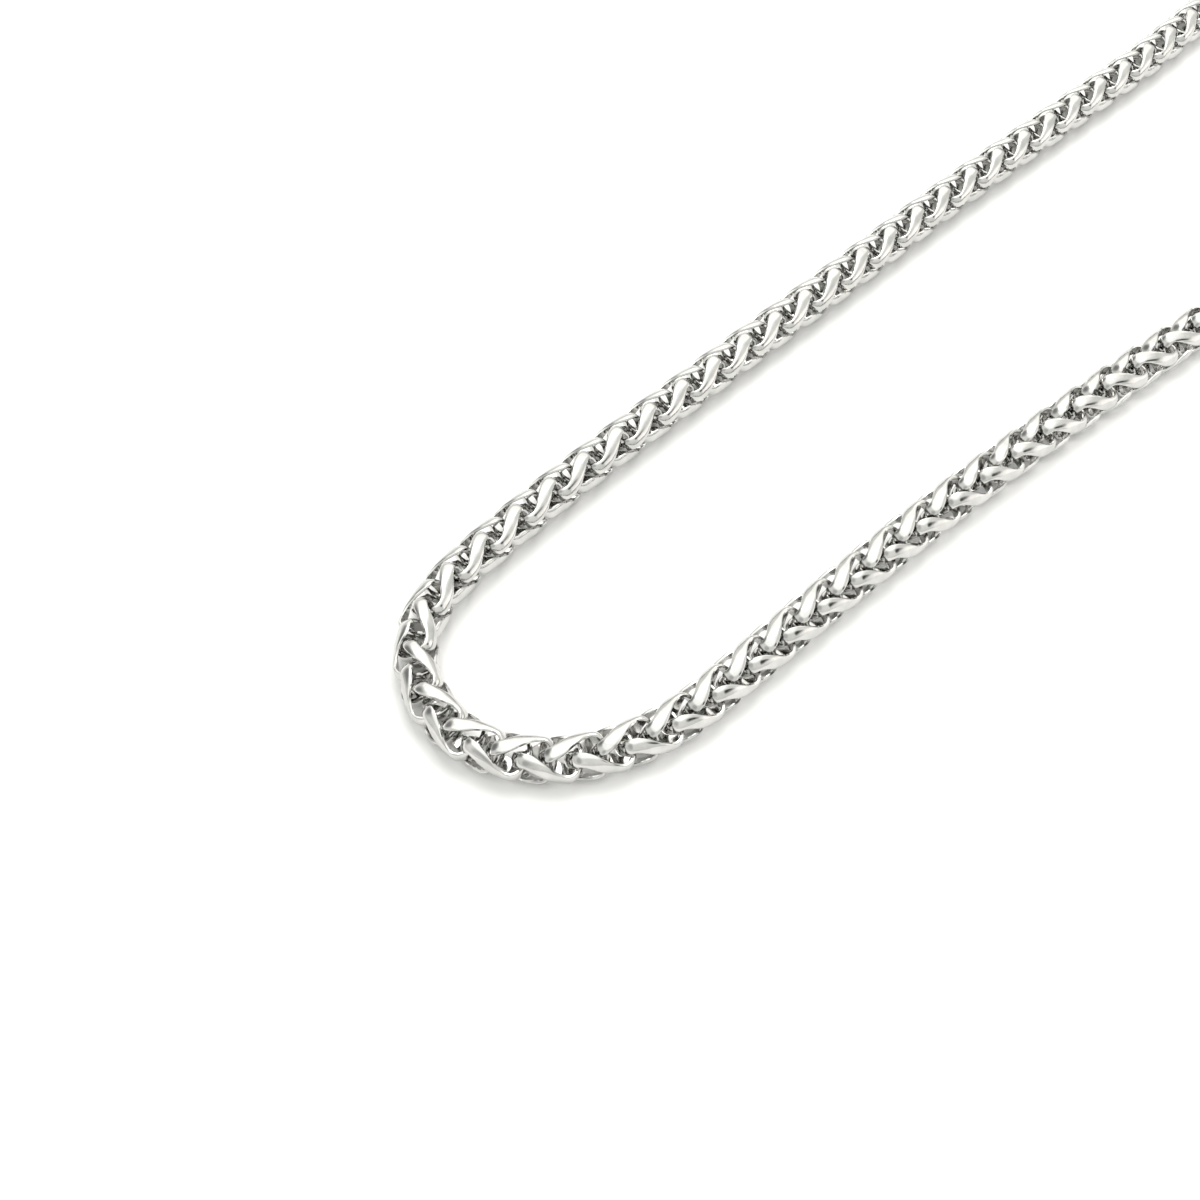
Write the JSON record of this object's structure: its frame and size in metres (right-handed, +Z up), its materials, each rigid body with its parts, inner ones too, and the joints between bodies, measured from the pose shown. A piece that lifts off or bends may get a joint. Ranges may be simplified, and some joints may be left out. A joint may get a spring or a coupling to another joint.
{
  "type": "wheat chain necklace",
  "caption": "Closed neck chain of interlocked twisted flat-wire links with a plain barrel clasp, lying in a long drop-shaped loop.",
  "frame": {"origin": "on the resting surface, under the middle of the whole loop's box", "axes": "+Z up from the resting surface, +Y along the loop from the tight front bend to the clasp, +X to the right seen from above"},
  "size_m": [0.067, 0.226, 0.005],
  "materials": {
    "polished_steel": "polished stainless steel with fine handling scratches"
  },
  "bodies": {
    "root": {"chain": "polished_steel", "clasp": "polished_steel"}
  },
  "joints": []
}
